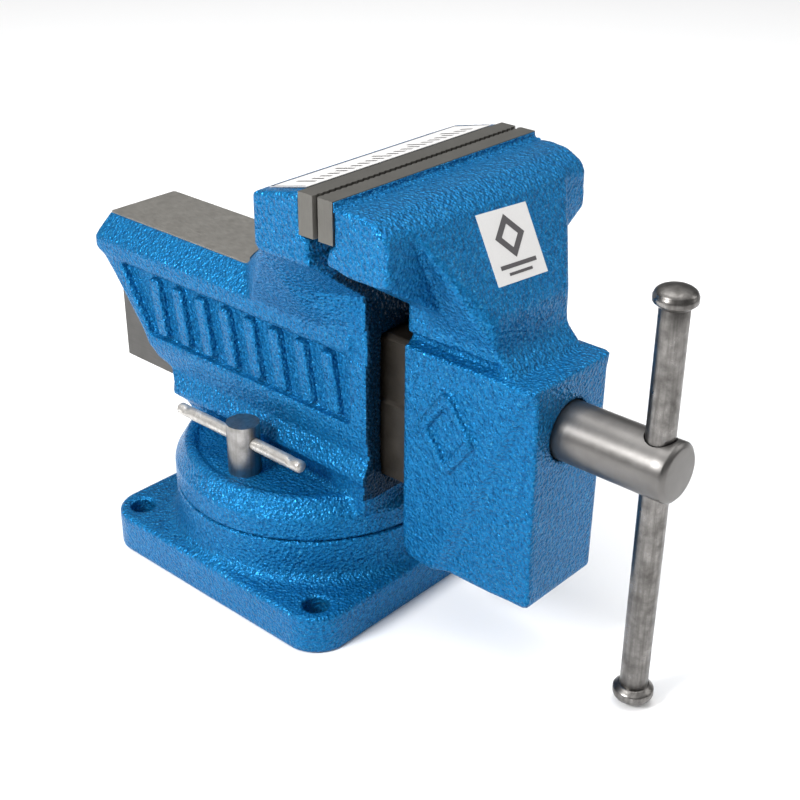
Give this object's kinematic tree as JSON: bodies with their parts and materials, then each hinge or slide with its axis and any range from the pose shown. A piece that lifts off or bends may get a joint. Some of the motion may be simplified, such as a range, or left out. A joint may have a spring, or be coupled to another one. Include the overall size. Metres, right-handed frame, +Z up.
{
  "type": "bench vise",
  "caption": "Bench vise on a lockable swivel base, with a sliding jaw driven by a screw, serrated jaw plates and an anvil behind the fixed jaw.",
  "frame": {"origin": "centre of the base's underside, on the swivel axis", "axes": "X along the jaws, Y along the spindle with the handle at -Y and the anvil at +Y, +Z up"},
  "size_m": [0.136, 0.2948, 0.1944],
  "materials": {
    "blue_paint": "hammered gloss",
    "hardened_steel": "ground",
    "turned_steel": "turned",
    "plated_steel": "bright zinc plate",
    "black_steel": "black oxide",
    "nut_iron": "machined",
    "label_white": "paper label"
  },
  "bodies": {
    "base": {"swivel_base": "blue_paint"},
    "fixed_jaw": {"fixed_body": "blue_paint", "fixed_jaw_plate": "hardened_steel", "fixed_plate_screws": "black_steel", "spindle_nut": "nut_iron", "nut_bolt": "black_steel", "swivel_t_bolts": "black_steel", "jaw_label": "label_white"},
    "movable_jaw": {"movable_jaw": "blue_paint", "movable_jaw_plate": "hardened_steel", "movable_plate_screws": "black_steel", "front_label": "label_white"},
    "spindle": {"spindle": "turned_steel", "thrust_washer": "turned_steel", "retaining_collar": "black_steel", "collar_pin": "turned_steel"},
    "handle": {"handle_bar": "plated_steel", "upper_handle_cap": "plated_steel", "lower_handle_cap": "plated_steel"},
    "left_lock": {"left_lock_nut": "plated_steel"},
    "left_lock_bar": {"left_lock_bar": "plated_steel"},
    "right_lock": {"right_lock_nut": "plated_steel"},
    "right_lock_bar": {"right_lock_bar": "plated_steel"}
  },
  "joints": [
    {"name": "swivel", "type": "hinge", "parent": "base", "child": "fixed_jaw", "pos_m": [0, 0, 0.0366], "axis": [0, 0, 1], "continuous": true},
    {"name": "jaw_slide", "type": "slide", "parent": "fixed_jaw", "child": "movable_jaw", "axis": [0, -1, 0], "range_m": [-0.0014, 0.116]},
    {"name": "spindle_turn", "type": "hinge", "parent": "movable_jaw", "child": "spindle", "pos_m": [0, -0.15, 0.1064], "axis": [0, -1, 0], "range_deg": [-126, 10440]},
    {"name": "handle_slide", "type": "slide", "parent": "spindle", "child": "handle", "axis": [0, 0, 1], "range_m": [-0.049, 0.083]},
    {"name": "left_lock_turn", "type": "hinge", "parent": "fixed_jaw", "child": "left_lock", "pos_m": [-0.042, 0, 0.053], "axis": [0, 0, 1], "range_deg": [-10, 10]},
    {"name": "left_bar_slide", "type": "slide", "parent": "left_lock", "child": "left_lock_bar", "axis": [0, 1, 0], "range_m": [-0.012, 0.012]},
    {"name": "right_lock_turn", "type": "hinge", "parent": "fixed_jaw", "child": "right_lock", "pos_m": [0.042, 0, 0.053], "axis": [0, 0, 1], "range_deg": [-10, 10]},
    {"name": "right_bar_slide", "type": "slide", "parent": "right_lock", "child": "right_lock_bar", "axis": [0, -1, 0], "range_m": [-0.012, 0.012]}
  ],
  "couplings": [
    {"joint": "jaw_slide", "follows": "spindle_turn", "m_per_rad": 0.00063662}
  ]
}
